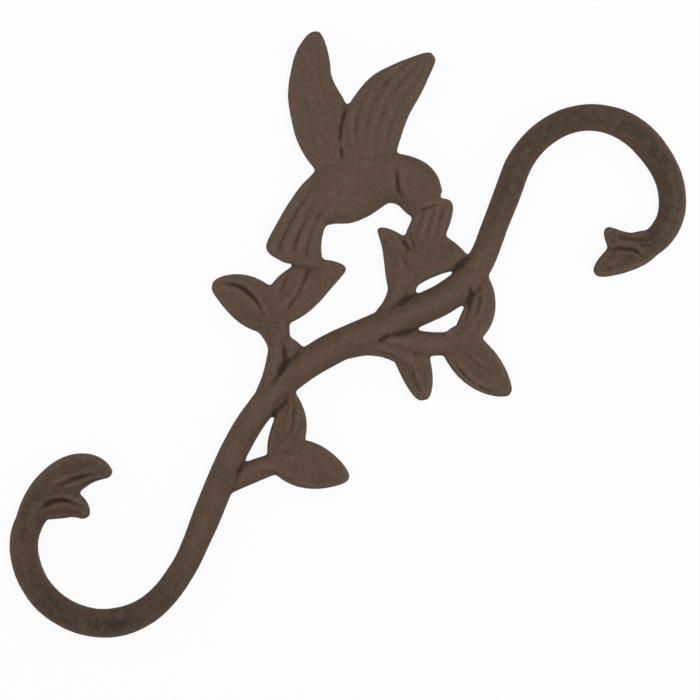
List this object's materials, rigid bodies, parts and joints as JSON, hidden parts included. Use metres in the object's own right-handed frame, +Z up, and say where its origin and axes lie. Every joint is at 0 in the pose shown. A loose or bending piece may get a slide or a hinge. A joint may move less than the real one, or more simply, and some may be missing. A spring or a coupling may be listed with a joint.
{
  "type": "plant hook",
  "caption": "S-shaped cast-iron plant hook with leafy sprigs and a hovering bird on its stem: the upper bowl hangs on a rod or branch, the lower bowl holds a hanging pot.",
  "frame": {"origin": "hang seat: the highest point of the upper bowl's inside, in the middle of the thickness", "axes": "+Z up along the line from the load seat to the hang seat, +X to the right seen from the front, +Y through the thickness from the front to the back"},
  "size_m": [0.164, 0.0112, 0.3134],
  "materials": {
    "brown_iron": "satin-matte brown over fine sand-cast grain"
  },
  "bodies": {
    "root": {"hook_casting": "brown_iron"}
  },
  "joints": []
}
